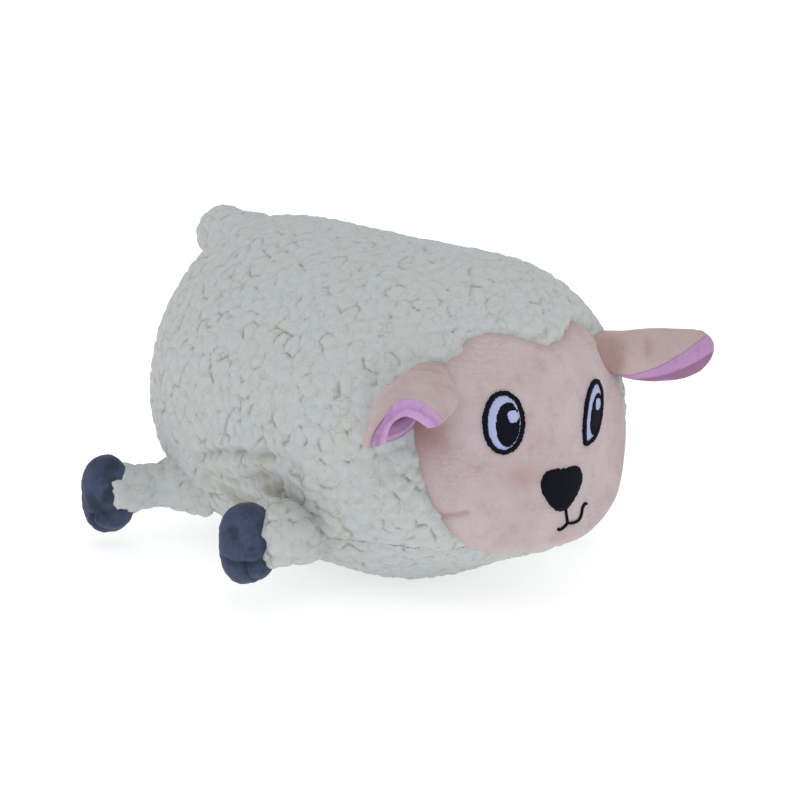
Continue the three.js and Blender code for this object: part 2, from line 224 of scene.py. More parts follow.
def sewn_piece(name, points, faces, look, stands_for, body, tones=None, bend=None):
    """Makes one piece of the toy. tones are numbers at its corners that its look reads."""
    used = np.arange(len(points))
    if isinstance(faces, np.ndarray):
        used, faces = np.unique(faces, return_inverse=True)
        faces = faces.reshape(-1, 4)
    mesh = plain_mesh(name, to_frame(points[used]), faces)
    mesh.polygons.foreach_set("use_smooth", np.ones(len(mesh.polygons), bool))
    for tone, values in (tones or {}).items():
        layer = mesh.attributes.new(tone, "FLOAT", "POINT")
        layer.data.foreach_set("value", np.asarray(values, np.float32)[used])
    piece = bpy.data.objects.new(name, mesh)
    bpy.context.scene.collection.objects.link(piece)
    mesh.materials.append(look)
    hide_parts(*stands_for)
    if bend:
        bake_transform(piece)
    else:
        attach(piece, body)
    return piece


# Looks.

def paint(code):
    """An sRGB hex colour as the linear colour that shaders use."""
    parts = [int(code[i:i + 2], 16) / 255 for i in (1, 3, 5)]
    return [p / 12.92 if p <= 0.04045 else ((p + 0.055) / 1.055) ** 2.4 for p in parts] + [1.0]


def node(tree, kind, inputs=None, **settings):
    """Adds a node with its settings. An input is a value or another node's output."""
    made = tree.nodes.new("ShaderNode" + kind)
    for name, value in settings.items():
        setattr(made, name, value)
    for name, value in (inputs or {}).items():
        if isinstance(value, bpy.types.NodeSocket):
            tree.links.new(value, made.inputs[name])
        else:
            made.inputs[name].default_value = value
    return made


def new_look(name):
    look = bpy.data.materials.new(name)
    look.use_nodes = True
    look.node_tree.nodes.clear()
    return look, look.node_tree


def cloth_surface(tree, colour, bump, roughness, sheen, gloss=0.15):
    shader = node(tree, "BsdfPrincipled", {
        "Base Color": colour, "Normal": bump.outputs["Normal"], "Roughness": roughness,
        "Specular IOR Level": gloss, "Sheen Weight": sheen, "Sheen Roughness": 0.6,
        "Sheen Tint": paint("#F5F2F4")})
    node(tree, "OutputMaterial", {"Surface": shader.outputs["BSDF"]})


def mixed_colours(tree, share, first, second):
    mix = tree.nodes.new("ShaderNodeMix")
    mix.data_type = "RGBA"
    for socket, value in ((mix.inputs[0], share), (mix.inputs[6], first), (mix.inputs[7], second)):
        if isinstance(value, bpy.types.NodeSocket):
            tree.links.new(value, socket)
        else:
            socket.default_value = value
    return mix.outputs[2]


def worked_out(tree, operation, first, second):
    return node(tree, "Math", {0: first, 1: second}, operation=operation).outputs["Value"]


def spread_share(tree, value, low, high, top=1.0):
    """Turns a number from low to high into a share from 0 to top."""
    made = node(tree, "MapRange", {"Value": value, "From Min": low, "From Max": high,
                                   "To Min": 0.0, "To Max": top})
    return made.outputs["Result"]


def noise_share(tree, place, size_mm, detail=2.0, roughness=0.5, low=0.35, high=0.65, top=1.0):
    made = node(tree, "TexNoise", {"Vector": place, "Scale": 1 / (size_mm * MM), "Detail": detail,
                                   "Roughness": roughness})
    return spread_share(tree, made.outputs["Fac"], low, high, top)


def sherpa_look():
    """Polyester sherpa fleece: a curled, matt pile, with painted brownish shade in the depths between its
    nubs and in its creases.
    """
    look, tree = new_look("sherpa_fleece_curled")
    place = node(tree, "TexCoord").outputs["Object"]
    crease = node(tree, "Attribute", attribute_name="crease").outputs["Fac"]
    patches = noise_share(tree, place, 26.0)
    curls = noise_share(tree, place, 1.3, detail=3.0, roughness=0.65, low=0.3, high=0.7)
    colour = mixed_colours(tree, patches, paint("#BDC3C6"), paint("#BEC2C1"))
    colour = mixed_colours(tree, spread_share(tree, curls, 0.0, 1.0, 0.2), colour, paint("#A9ADAB"))
    shift = node(tree, "TexNoise", {"Vector": place, "Scale": 1 / (4 * MM), "Detail": 2.0})
    bent = node(tree, "VectorMath", {0: shift.outputs["Color"], 1: (3 * MM,) * 3, 2: place},
                operation="MULTIPLY_ADD")
    # Painted shade: thin, broken brownish lines where the nubs meet.
    gaps = node(tree, "TexVoronoi", {"Vector": bent.outputs["Vector"], "Scale": 1 / (4.6 * MM)},
                feature="DISTANCE_TO_EDGE").outputs["Distance"]
    thin = spread_share(tree, gaps, 0.07, 0.0, 0.55)
    broken = noise_share(tree, place, 5.0, low=0.45, high=0.62)
    colour = mixed_colours(tree, worked_out(tree, "MULTIPLY", thin, broken), colour, paint("#A29D8E"))
    # Painted brownish shade in creases and wrinkles, and the seam's dark line, from each piece's crease
    # numbers.
    colour = mixed_colours(tree, spread_share(tree, crease, 0.04, 0.35, 0.42), colour, paint("#B0AB9C"))
    colour = mixed_colours(tree, spread_share(tree, crease, 0.14, 0.62, 0.42), colour, paint("#6E6552"))
    bump = node(tree, "Bump", {"Strength": 0.35, "Distance": 0.0006, "Height": curls})
    cloth_surface(tree, colour, bump, 0.95, 0.15)
    return look


def plush_look(name, light, dark, shade, pile_mm=1.2, streaks=0.0, blotches=0.7, contrast=0.2):
    """Short-pile polyester plush (minky): soft sheen, rows of knit and brushed patches."""
    look, tree = new_look(name)
    place = node(tree, "TexCoord").outputs["Object"]
    depth = node(tree, "Attribute", attribute_name="shade").outputs["Fac"]
    patches = noise_share(tree, place, 17.0, detail=3.0, low=0.36, high=0.64, top=blotches)
    pile = noise_share(tree, place, pile_mm, detail=4.0, roughness=0.8, low=0.33, high=0.67)
    colour = mixed_colours(tree, patches, paint(light), paint(dark))
    colour = mixed_colours(tree, spread_share(tree, pile, 0.0, 1.0, contrast), colour, paint(shade))
    brushed = noise_share(tree, place, 8.0, detail=4.0, roughness=0.65, low=0.5, high=0.7, top=0.3)
    colour = mixed_colours(tree, brushed, colour, paint(shade))
    if streaks:
        rows = node(tree, "TexWave", {"Vector": place, "Scale": WAVE_SCALE / (2.2 * MM), "Distortion": 7.0,
                                      "Detail": 3.0, "Detail Scale": 2.2}, bands_direction="Z")
        here = noise_share(tree, place, 19.0, detail=3.0, low=0.46, high=0.66, top=streaks)
        both = worked_out(tree, "MULTIPLY", rows.outputs["Fac"], here)
        colour = mixed_colours(tree, both, colour, paint(shade))
    # Colour from the piece's shade numbers: painted shade in folds, creases and under parts, with a few
    # brushed patches.
    colour = mixed_colours(tree, depth, colour, paint(shade))
    bump = node(tree, "Bump", {"Strength": 0.25, "Distance": 0.0004, "Height": pile})
    cloth_surface(tree, colour, bump, 0.85, 0.1)
    return look


def thread_look(name, light, dark):
    """Rayon satin stitch: fine parallel threads with a soft gloss. Real threads are 0.4 mm
    apart, drawn here 0.9 mm apart so that they show."""
    look, tree = new_look(name)
    place = node(tree, "TexCoord").outputs["Object"]
    threads = node(tree, "TexWave", {"Vector": place, "Scale": WAVE_SCALE / (0.9 * MM), "Distortion": 1.2,
                                     "Detail": 1.0}, bands_direction="X")
    share = spread_share(tree, threads.outputs["Fac"], 0.0, 1.0, 0.55)
    colour = mixed_colours(tree, share, paint(light), paint(dark))
    bump = node(tree, "Bump", {"Strength": 0.3, "Distance": 0.0003, "Height": threads.outputs["Fac"]})
    cloth_surface(tree, colour, bump, 0.6, 0.0, gloss=0.03)
    return look


SHERPA = sherpa_look()
FACE_PLUSH = plush_look("face_plush_short_pile", "#C1B7BB", "#BBACAE", "#A37A76", streaks=0.2)
EAR_PLUSH = plush_look("ear_plush_short_pile", "#C1B1B2", "#B8A4A3", "#94706A")
LINING_PLUSH = plush_look("ear_lining_plush_orchid", "#C69ECE", "#BC93C5", "#80526D", blotches=0.6)
HOOF_PLUSH = plush_look("hoof_plush_slate_blue", "#475470", "#39455F", "#181D2A", pile_mm=1.6, blotches=1.0,
                        contrast=0.45)
STUFFING = plush_look("polyester_fibre_stuffing", "#E9E9E6", "#DDDDD9", "#C9C9C4", blotches=0.8)
THREADS = {"navy": thread_look("satin_stitch_navy", "#15161F", "#0D0E16"),
           "white": thread_look("satin_stitch_bluish_white", "#AEB8DC", "#9AA4CB")}


# Fleece and stuffing. A nub's reach, the part of it that the smallest nubs have, how far the
# edges between nubs wander, and half widths of an edge's crease, its shade and its dip.
NUB = 6.6
SMALLEST_NUB = 0.68
EDGE_WANDER = 1.9
CREASE_WIDTH = 0.38
SHADE_WIDTH = 1.2
DIP_WIDTH = 1.3
# How far the back and the belly lap over the seam between them.
SEAM_LAP = 0.2
# The share of painted brownish shade that the deepest crease gets.
CREASE_SHADE = 0.62


def fleece(places, seed):
    """Height in mm and crease depth from 0 to 1 of curled nubs, at each place of a skin."""
    rng = np.random.default_rng(seed)
    every = place_tree(places)
    free = np.ones(len(places), bool)
    centres = []
    for i in rng.permutation(len(places)):
        if free[i]:
            centres.append(i)
            reach = NUB * rng.uniform(SMALLEST_NUB, 1.0)
            free[[found[1] for found in every.find_range(places[i], reach)]] = False
    middles = place_tree(places[centres])
    bent = places + wander(places, 5.0, seed + 1, seed + 2, seed + 3) * EDGE_WANDER
    near = np.zeros((len(places), 2))
    pair = np.zeros((len(places), 2), np.int64)
    for i, place in enumerate(bent):
        found = middles.find_n(place, 2)
        near[i] = found[0][2], found[1][2]
        pair[i] = found[0][1], found[1][1]
    low, high = pair.min(axis=1), pair.max(axis=1)
    luck = ((low * 7919 + high * 104729 + seed) * 2654435761 >> 7) % 1000 / 1000
    edge = (near[:, 1] - near[:, 0]) / 2
    # Crease numbers: painted shade along open edges between nubs, and a soft shade along every edge.
    open_edge = ease(luck, 0.36, 0.98) * ease(drift(places, 4.5, seed + 4), -0.45, 0.4)
    crease = np.exp(-(edge / CREASE_WIDTH) ** 2) * open_edge + 0.16 * np.exp(-(edge / SHADE_WIDTH) ** 2)
    dip = np.exp(-(edge / DIP_WIDTH) ** 2)
    dome = np.clip(1 - (near[:, 0] / (0.75 * NUB)) ** 2, -0.3, 1)
    curls = drift(places, 2.1, seed + 5) + 0.6 * drift(places, 1.2, seed + 6)
    height = 0.55 * dome - 0.4 * dip - 0.75 * crease + 0.2 * curls + 0.35 * drift(places, 16.0, seed + 7)
    return height, crease


def stuffed(points, faces, held, press=4.0, cap=3.0, step=5.0, frames=20):
    """How far pressed stuffing swells a sewn cover outward, as places and millimetres.
    held says which places of the cover its seams hold."""
    places, squares, _ = even_skin(points, faces, step)
    cover = bpy.data.objects.new("cover", plain_mesh("cover", places * MM, squares))
    bpy.context.scene.collection.objects.link(cover)
    seam = cover.vertex_groups.new(name="seam")
    seam.add([int(i) for i in np.flatnonzero(held(places))], 1.0, "REPLACE")
    cloth = cover.modifiers.new("cloth", "CLOTH")
    cloth.settings.vertex_group_mass = "seam"
    cloth.settings.use_pressure = True
    cloth.settings.uniform_pressure_force = press
    cloth.settings.effector_weights.gravity = 0.0
    scene = bpy.context.scene
    for number in range(1, frames + 1):
        scene.frame_set(number)
    swollen, _ = corners_of(cover.evaluated_get(bpy.context.evaluated_depsgraph_get()).to_mesh())
    _, outward = corners_of(cover.data)
    gain = np.einsum("ij,ij->i", swollen / MM - places, outward)
    bpy.data.objects.remove(cover)
    scene.frame_set(1)
    free = ~held(places)
    gain = np.clip(gain - np.median(gain[free]), -cap, cap)
    return places, gain


def spread_gain(places, gain, at, neighbours=6, softness=1.5):
    """Carries a coarse cover's swelling over to other places, smoothly."""
    tree = place_tree(places)
    result = np.zeros(len(at))
    for i, place in enumerate(at):
        weights = total = 0.0
        for _, index, distance in tree.find_n(place, neighbours):
            weight = 1 / (distance + softness) ** 2
            weights += weight
            total += weight * gain[index]
        result[i] = total / weights
    return result


# Body. Its skin's numbers follow the outline of the photographed toy.

def body_section(y):
    """Across the body at y: half width, height above and below its middle, the middle's height,
    and how square the section is above and below it."""
    front = y < 0
    along = np.minimum(np.abs(y) / np.where(front, FRONT_LENGTH, REAR_LENGTH), 1)
    square = np.where(front, 0.55 * along ** 2, 0)
    bend = np.where(front, -40.0, 5.4) * along ** 2
    middle = HALF_HEIGHT + 2.1 - 0.057 * y + bend
    return ((HALF_WIDTH + np.where(front, 0, 0.5 * along)) * swell(along, np.where(front, 1.72, 3.28)),
            HALF_HEIGHT * swell(along, np.where(front, 4.2, 8.2)),
            HALF_HEIGHT * swell(along, np.where(front, 1.25, 5.9)),
            middle, 1.95 + square, 2.1 + square)


def body_reach(y, z):
    """Half of the body's width at a place along Y and a height."""
    width, rise, fall, middle, upper, lower = body_section(y)
    above = z > middle
    share = np.abs(z - middle) / np.maximum(np.where(above, rise, fall), 1e-6)
    return width * swell(np.minimum(share, 1), np.where(above, upper, lower))


def body_grid(around=300, rings=240):
    """The body's skin as a closed grid, with a pole at each end."""
    tilt = np.linspace(0, math.pi, rings + 1)[1:-1]
    turn = np.linspace(-math.pi, math.pi, around, endpoint=False)
    tilt, turn = (a.ravel() for a in np.meshgrid(tilt, turn, indexing="ij"))
    y = np.where(np.cos(tilt) < 0, FRONT_LENGTH, REAR_LENGTH) * np.cos(tilt)
    width, rise, fall, middle, upper, lower = body_section(y)
    above = np.sin(turn) > 0
    power = np.where(above, upper, lower)
    radius = (np.abs(np.cos(turn)) ** power + np.abs(np.sin(turn)) ** power) ** (-1 / power)
    x = width * radius * np.cos(turn)
    z = middle + np.where(above, rise, fall) * radius * np.sin(turn)
    points = np.stack([x, y, z], axis=1)
    poles = np.array([[0, REAR_LENGTH, body_section(np.array([REAR_LENGTH]))[3][0]],
                      [0, -FRONT_LENGTH, body_section(np.array([-FRONT_LENGTH]))[3][0]]])
    squares = grid_faces(rings - 1, around, wrapped=True)
    ring = np.arange(around)
    start, end = len(points), len(points) + 1
    beside = (ring + 1) % around
    last = (rings - 2) * around
    caps = [[start, int(b), int(a)] for a, b in zip(ring, beside)]
    caps += [[end, int(last + a), int(last + b)] for a, b in zip(ring, beside)]
    return np.concatenate([points, poles]), [list(map(int, f)) for f in squares] + caps


def face_front(x, z):
    """The Y of the body's front surface at places seen from the front."""
    near, far = np.full(len(x), -FRONT_LENGTH), np.full(len(x), -2.0)
    for _ in range(26):
        y = (near + far) / 2
        inside = body_reach(y, z) > np.abs(x)
        far = np.where(inside, y, far)
        near = np.where(inside, near, y)
    return (near + far) / 2


def face_surface(x, z, depth):
    """Places on the face, this far under the body's outer skin, and their normals."""
    y = face_front(x, z)
    slope_x = (face_front(x + 0.4, z) - face_front(x - 0.4, z)) / 0.8
    slope_z = (face_front(x, z + 0.4) - face_front(x, z - 0.4)) / 0.8
    normals = np.stack([slope_x, -np.ones(len(x)), slope_z], axis=1)
    normals /= np.linalg.norm(normals, axis=1, keepdims=True)
    return np.stack([x, y, z], axis=1) - normals * np.reshape(depth, (-1, 1)), normals


# The body's cover: one fleece skin, cut into a back and a belly at their seam.
# The face's outline, seen from the front, as (x, z) from the hair peak round by the left side.
FACE_OUTLINE = smooth_line([
    (3, 112), (13, 112.5), (21, 115.5), (29, 118), (37, 113), (44, 103), (52, 91), (58, 78), (66, 65),
    (65, 52), (54, 40), (38, 33), (18, 28), (0, 25.5), (-20, 27), (-35, 34), (-45, 46), (-50, 59),
    (-53, 76), (-51, 91), (-43, 103), (-37, 107.5), (-33, 109.5), (-28, 115.5), (-19, 117), (-8, 115),
], True, 8)
# The face lies in front of this Y.
FACE_END = -12.0

# Lines where the flank wrinkles beside the legs: places, half width, depth and darkness, which is painted
# shade in the wrinkle's valley. The two widest lines paint broad shade over the flank above the legs.
WRINKLES = [
    ([(-75, 70, 48), (-79, 46, 53), (-80, 20, 58), (-80, 4, 59), (-79, -10, 59)], 2.0, 2.6, 1.0),
    ([(-62, 84, 34), (-69, 60, 35), (-75, 34, 43), (-78, 16, 49)], 2.0, 2.2, 1.0),
    ([(-75, 17, 44), (-73, 8, 40), (-71, -6, 40), (-65, -15, 36)], 1.6, 1.2, 0.8),
    ([(-61, 104, 43), (-71, 88, 42)], 1.6, 1.2, 0.8),
    ([(-67, 54, 30), (-69, 38, 31), (-72, 24, 36), (-75, 10, 42)], 13.0, 2.2, 1.0),
    ([(-70, 66, 38), (-75, 40, 41), (-78, 14, 48)], 17.0, 0.5, 0.45),
]
WRINKLES += [([(-x, y + 5, z + 2) for x, y, z in places], *rest) for places, *rest in WRINKLES]


# How far round its hinge a limb's root holds the cover, by the last word of the hinge's name.
ROOT_REACH = {"bend": 16.0, "fold": 15.0, "wag": 14.0}


def beside_limbs(places):
    """Which places of the body's cover are held by a limb's root."""
    near = np.zeros(len(places), bool)
    for name in hinges:
        near |= np.linalg.norm(places - hinge_root(name), axis=1) < ROOT_REACH[name.split("_")[-1]]
    return near


def face_distance(places):
    """Distance to the face's outline as seen from the front, positive outside it."""
    distance = np.full(len(places), 99.0)
    front = places[:, 1] < FACE_END
    distance[front] = outline_depth(places[front][:, [0, 2]], FACE_OUTLINE)
    return distance


def seam_held(places):
    """Which places of the body's cover stay still while it swells."""
    by_seam = np.abs(places[:, 2] - SEAM_HEIGHT) < 3
    resting = places[:, 2] < 3
    return (face_distance(places) < 5) | by_seam | beside_limbs(places) | resting


def sew_body():
    skin, skin_faces = body_grid()
    cover_gain = stuffed(skin, skin_faces, seam_held)
    skin, squares, normals = even_skin(skin, skin_faces, BODY_STEP)
    depth = face_distance(skin)
    height, crease = fleece(skin, 11)
    if cover_gain:
        height += spread_gain(*cover_gain, skin)
    ragged = depth - 1.0 + 0.9 * drift(skin, 4.0, 31) + 0.5 * drift(skin, 1.8, 32)
    height -= 5.5 * (1 - ease(ragged, -2.6, 3.4))
    # The crease shade fades out towards the face's edge and is weaker towards the top.
    crease *= ease(depth, 0, 4) * (1.3 - 0.5 * ease(skin[:, 2], 50, 125))
    wandering = skin + 1.5 * wander(skin, 7.0, 41, 42, 43)
    # Each wrinkle is a dent with a bank, and painted shade along its valley.
    for places, half_width, dent, darkness in WRINKLES:
        far = line_distance(wandering, smooth_line(places, False, 6))
        valley = np.exp(-(far / half_width) ** 2)
        bank = 0.4 * np.exp(-((far / half_width - 2.2) / 1.2) ** 2)
        height += dent * (bank - valley)
        crease = np.maximum(crease, darkness * np.exp(-(far / (0.55 * half_width)) ** 2)
                            * ease(drift(skin, 5.0, 44), -0.9, 0.1))
    from_seam = skin[:, 2] - SEAM_HEIGHT
    height -= 1.3 * np.exp(-(from_seam / 1.7) ** 2)
    stitches = np.exp(-(from_seam / 0.7) ** 2) * ease(drift(skin, 6.0, 45), -0.3, 0.5)
    crease = np.maximum(crease, 0.45 * stitches)
    fleecy = skin + normals * height[:, None]
    fleecy[:, 2] = np.maximum(fleecy[:, 2], 0.0)
    kept = (depth > -4.5)[squares].all(axis=1)
    level = from_seam[squares].mean(axis=1)
    tones = {"crease": np.clip(crease, 0, 1) * CREASE_SHADE}
    for name, part in (("back_cover", level > -SEAM_LAP), ("belly_cover", level < SEAM_LAP)):
        sewn_piece(f"{name}_fleece", fleecy, squares[kept & part], SHERPA, [name], "torso", tones)


# Face: a plush panel that tucks under the fleece, and embroidery that stands on it.
FACE_DEPTH = 1.2
# Where the face is darker: (x, z), half width, half height and share. The first is painted shadow under the
# right ear, the last painted shade down the face's left side, and the other two are brushed pile.
FACE_PATCHES_AND_SHADE = [
    ((-50, 80), 6, 10, 0.8),
    ((-18, 63), 10, 6, 0.42),
    ((-10, 79), 6, 5, 0.12),
    ((48, 66), 9, 24, 0.25),
]
DART = smooth_line([(-50, 47), (-44, 46.5), (-37, 48.5)], False, 6)


def face_relief(x, z):
    """How far the panel lies under the body's outer skin."""
    flat = np.stack([x, z, x * 0], axis=1)
    puckers = 0.25 * drift(flat, 9.0, 51) + 0.4 * drift(flat, 22.0, 52)
    cheeks = 0.8 * np.exp(-((np.abs(x) - 30) ** 2 + (z - 60) ** 2) / 320)
    return FACE_DEPTH - 1.5 * ease(x, 30, 52) - puckers - cheeks


def sew_face(step=1.0):
    x = np.arange(-62, 74 + step, step)
    z = np.arange(18, 126 + step, step)
    columns, rows = len(x), len(z)
    z, x = (a.ravel() for a in np.meshgrid(z, x, indexing="ij"))
    flat = np.stack([x, z], axis=1)
    outside = outline_depth(flat, FACE_OUTLINE)
    dart = np.exp(-(line_distance(flat, DART) / 1.1) ** 2)
    tucked = 3.2 * ease(outside, -2.0, 4.0)
    points, _ = face_surface(x, z, face_relief(x, z) + tucked + 0.9 * dart)
    squares = grid_faces(rows, columns)
    fits = (body_reach(np.full(len(x), -6.0), z) > np.abs(x)) & (outside < 5.0)
    squares = squares[fits[squares].all(axis=1)]
    # Painted shade where the panel tucks under the fleece and along the dart.
    shade = 0.12 * ease(outside, -3.5, 0.5) + 0.55 * dart
    for (patch_x, patch_z), half_width, half_height, share in FACE_PATCHES_AND_SHADE:
        shade += share * np.exp(-((x - patch_x) / half_width) ** 2 - ((z - patch_z) / half_height) ** 2)
    sewn_piece("face_panel_plush", points, squares, FACE_PLUSH, ["face_panel"], "torso",
               {"shade": np.clip(shade, 0, 1)})


def stitched(name, points, faces, thread, node_name):
    sewn_piece(f"{name}_stitch", points, faces, THREADS[thread], [node_name], "torso")


def stitched_pad(name, outline, thread, node_name, thick, inner=None, rings=14, under=0.5):
    """A raised area of satin stitch inside an outline, or between it and an inner one."""
    outline = np.asarray(outline, float)
    middle = outline.mean(axis=0)
    start = np.asarray(inner, float) if inner is not None else np.repeat(middle[None], len(outline), axis=0)
    shares = np.sin(np.linspace(0, math.pi / 2, rings)) if inner is None else np.linspace(0, 1, rings)
    flat = np.concatenate([start + (outline - start) * share for share in shares])
    share = np.repeat(shares, len(outline))
    edge = np.abs(2 * share - 1) if inner is not None else share
    rise = thick * np.sqrt(np.maximum(1 - edge ** 9, 0)) - under * (edge > 0.999)
    points, _ = face_surface(flat[:, 0], flat[:, 1], face_relief(flat[:, 0], flat[:, 1]) - rise)
    stitched(name, points, grid_faces(rings, len(outline), wrapped=True), thread, node_name)


STITCH_UNEVEN = 0.26
# Width of an eye's ring, and how far the white reaches under it.
EYE_RING = 2.0
RING_LAP = 0.5
# For each eye: its middle, half width, half height, tilt and how far it is drawn to a point below.
EYES = {"right": (-23.4, 84.2, 8.2, 12.5, -0.13, 0.0), "left": (23.3, 84.6, 6.9, 13.2, -0.5, 0.12)}


def oval(x, z, half_width, half_height, tilt, count=120, seed=7, point=0.0):
    """An oval whose rim is a little uneven, as the ends of its stitches are, with a point below."""
    turn = np.linspace(0, math.tau, count, endpoint=False)
    uneven = STITCH_UNEVEN * np.random.default_rng(seed).uniform(-1, 1, count)
    drawn = 1 + point * np.exp(-((turn - 4.55) / 0.32) ** 2)
    across, up = (half_width + uneven) * np.cos(turn), (half_height + uneven) * np.sin(turn) * drawn
    return np.stack([x + across * math.cos(tilt) - up * math.sin(tilt),
                     z + across * math.sin(tilt) + up * math.cos(tilt)], axis=1)


def sew_eyes():
    for side, (x, z, half_width, half_height, tilt, point) in EYES.items():
        narrowed = half_width / EYES["right"][2]
        inner_width, inner_height = half_width - EYE_RING, half_height - EYE_RING
        whole = oval(x, z, half_width, half_height, tilt, point=point)
        hole = oval(x, z, inner_width, inner_height, tilt, seed=8, point=point)
        white = oval(x, z, inner_width + RING_LAP, inner_height + RING_LAP, tilt, point=point)
        pupil_x, pupil_z = x + 1.15 * math.cos(tilt), z - 0.5 + 1.15 * math.sin(tilt)
        pupil = oval(pupil_x, pupil_z, 4.95 * narrowed, 9.2, tilt, seed=9)
        glint = oval(x + 3.4 * narrowed, z + 2.4, 2.45 * narrowed, 2.75, tilt, 40)
        stitched_pad(f"{side}_eye_ring", whole, "navy", f"{side}_eye_outline", 1.1, inner=hole)
        for part, outline, thread, thick in (("white", white, "white", 0.75), ("pupil", pupil, "navy", 1.05),
                                             ("glint", glint, "white", 1.3)):
            stitched_pad(f"{side}_eye_{part}", outline, thread, f"{side}_eye_{part}", thick)


def sew_nose():
    half = [(0, 1), (0.45, 1.03), (0.85, 0.88), (1, 0.45), (0.92, 0.0), (0.7, -0.45), (0.38, -0.85),
            (0, -1.02)]
    ring = half + [(-x, z) for x, z in half[-2:0:-1]]
    outline = smooth_line([(2.7 + 11.4 * x, 56.2 + 8.7 * z) for x, z in ring], True, 8)
    outline += STITCH_UNEVEN * np.random.default_rng(12).uniform(-1, 1, outline.shape)
    stitched_pad("nose", outline, "navy", "nose_embroidery", 1.5)


# Half width of the mouth's line of stitches, and how high its middle lies over the face.
ROPE_RADIUS = 0.62
ROPE_RISE = 0.35


def sew_mouth():
    """Three ropes of satin stitch: a stem, a short stroke and a long smile with a hook."""
    strokes = [
        [(4.6, 48.6), (5.5, 45.5), (6.5, 42)],
        [(6.5, 42), (4.3, 40.6), (1.9, 39.9), (1.1, 40.6)],
        [(6.5, 42), (10.4, 41.6), (13.6, 42.4), (14.9, 44.5), (15.3, 47), (16.7, 48.4), (18.3, 48)],
    ]
    points, squares = [], []
    around = 12
    turn = np.linspace(0, math.tau, around, endpoint=False)
    for stroke in strokes:
        line = smooth_line(stroke, False, 8)
        run = np.gradient(line, axis=0)
        run /= np.linalg.norm(run, axis=1, keepdims=True)
        side = np.stack([-run[:, 1], run[:, 0]], axis=1)
        share = np.linspace(0, 1, len(line))
        girth = ROPE_RADIUS * np.sqrt(np.clip(np.minimum(share, 1 - share) * 14, 0.02, 1))
        flat = line[:, None] + side[:, None] * (girth[:, None] * np.cos(turn))[:, :, None]
        flat = flat.reshape(-1, 2)
        rise = (ROPE_RISE + girth[:, None] * np.sin(turn)).ravel()
        placed, _ = face_surface(flat[:, 0], flat[:, 1], face_relief(flat[:, 0], flat[:, 1]) - rise)
        squares.append(grid_faces(len(line), around, wrapped=True) + sum(len(p) for p in points))
        points.append(placed)
    stitched("mouth", np.concatenate(points), np.concatenate(squares), "navy", "mouth_embroidery")


# Limbs. Each has its own axes: X out along it from its hinge, Z its upper side. Its cover
# starts this far along X, inside the body, and widens over the next stretch.
LIMB_START = -9.0
LIMB_WIDENING = 6.0


def limb_axes(direction, upper):
    """A limb's three axes as rows, with Z as near to the upper direction as it can be."""
    out = np.array(direction, float) / np.linalg.norm(direction)
    side = np.cross(upper, out)
    side /= np.linalg.norm(side)
    return np.stack([out, side, np.cross(out, side)])


def reach_points(root, axes, distances):
    """Places along a limb from its hinge, in metres in the frame."""
    return [tuple(to_frame(root + axes[0] * distance)) for distance in distances]


def turned_form(x, half_depths, half_heights, around=72):
    """A closed form round the X axis, from its half depth and half height at each x."""
    turn = np.linspace(0, math.tau, around, endpoint=False)
    rings = [np.stack([np.full(around, at), depth * np.cos(turn), height * np.sin(turn)], axis=1)
             for at, depth, height in zip(x, half_depths, half_heights)]
    points = np.concatenate(rings + [[[x[0], 0, 0]], [[x[-1], 0, 0]]])
    squares = grid_faces(len(x), around, wrapped=True)[:, ::-1]
    last = (len(x) - 1) * around
    ends = []
    for a in range(around):
        b = (a + 1) % around
        ends.append([len(points) - 2, a, b])
        ends.append([len(points) - 1, last + b, last + a])
    return points, [list(map(int, f)) for f in squares] + ends


def opening(x):
    """Share of its girth that a limb's cover has where it starts inside the body."""
    return np.sqrt(np.clip((x - LIMB_START) / LIMB_WIDENING, 0.01, 1))


def closing(x, start, length):
    """Share of its girth that a cover has where it rounds to its end."""
    return np.sqrt(np.clip(1 - np.clip((x - start) / length, 0, 1) ** 2, 0.0004, 1))


def stuffing_piece(part, points, faces, body):
    sewn_piece(f"{part}_stuffing", points, faces, STUFFING, [f"{part}_filling"], body)


def stuff_limb(body, root, axes, middle, half_length, half_depth, half_height):
    """An egg of stuffing round a place along a limb."""
    x = middle + half_length * np.cos(np.linspace(math.pi, 0, 24))
    girth = np.sqrt(np.maximum(1 - ((x - middle) / half_length) ** 2, 0.0004))
    core, core_faces = turned_form(x, half_depth * girth, half_height * girth, 24)
    stuffing_piece(body, core @ axes + root, core_faces, body)


# For each leg: its side, how far its hoof lies backward and down, the seed of its nubs, how much
# its sleeve is raised at its root and its end, how far the sleeve laps over the hoof, its bow
# towards the front, the slant of its end and its half width at five places.
FRONT_WIDTHS = (16.0, 14.4, 13.0, 13.4, 14.2)
REAR_WIDTHS = (17.5, 13.6, 9.7, 9.6, 11.4)
LEGS = {
    "front_right": (-1, -17, -2, 61, 0.6, 3.0, 2.6, 0.65, 0.5, FRONT_WIDTHS),
    "front_left": (1, 16, -2, 62, 0.6, 3.0, 2.6, 0.0, 0.25, FRONT_WIDTHS),
    "rear_right": (-1, 12, 4, 63, 2.4, 1.4, 4.0, 0.0, 0.3, REAR_WIDTHS),
    "rear_left": (1, 12, 4, 64, 2.4, 1.4, 4.0, 0.0, 0.3, REAR_WIDTHS),
}
LEG_REACH = 38.0
SLEEVE_END = 32.5
WIDTHS_APART = 8.0
# Half sizes of a hoof, and the power that makes its ends blunt.
HOOF_SIZE = (10.8, 11.4, 16.4)
HOOF_BLUNT = 2.5
# Folds that divide a hoof, on its outer end: places forward and up, half width and depth.
HOOF_FOLDS = [
    ([(-3.5, -6.5), (0.0, -7.8), (4.0, -7.6), (8.0, -6.6), (12.0, -4.5)], 1.7, 2.0),
    ([(5.0, -7.6), (5.6, -10.0), (5.8, -13.0)], 1.4, 1.5),
]


